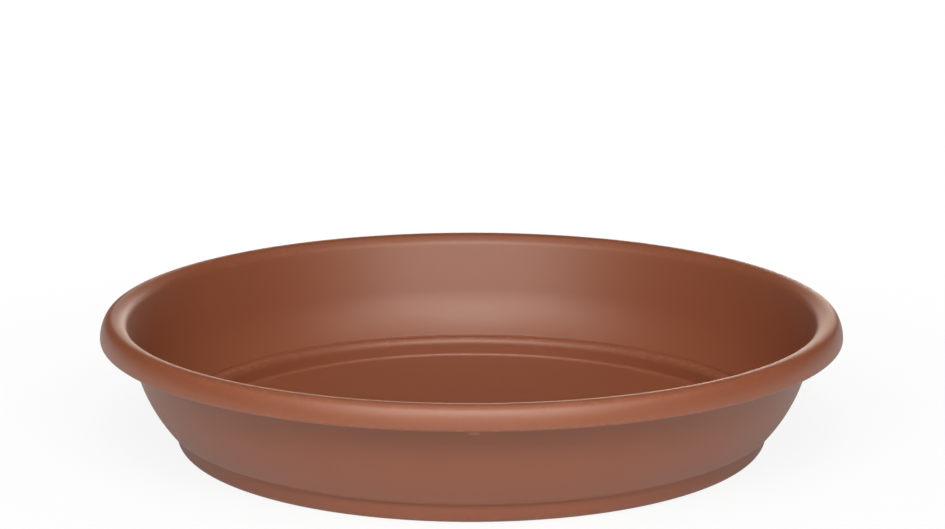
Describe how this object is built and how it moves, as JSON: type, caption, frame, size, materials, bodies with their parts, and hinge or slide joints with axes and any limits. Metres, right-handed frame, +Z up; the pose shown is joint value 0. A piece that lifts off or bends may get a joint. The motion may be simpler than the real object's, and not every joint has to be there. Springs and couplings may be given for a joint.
{
  "type": "plant saucer",
  "caption": "Round moulded plastic plant saucer with a rolled hollow lip, a leaning bowl wall, and a stepped-in foot round a flat floor that catches water under a pot.",
  "frame": {"origin": "centre of the rest ring's plane, where the saucer's axis meets the surface it stands on", "axes": "+Z up along the axis of the turned form, -Y towards the viewer of the picture, +X to the viewer's right"},
  "size_m": [0.305, 0.305, 0.0542],
  "materials": {
    "terracotta_plastic": "satin terracotta-brown moulded plastic"
  },
  "bodies": {
    "root": {"saucer": "terracotta_plastic"}
  },
  "joints": []
}
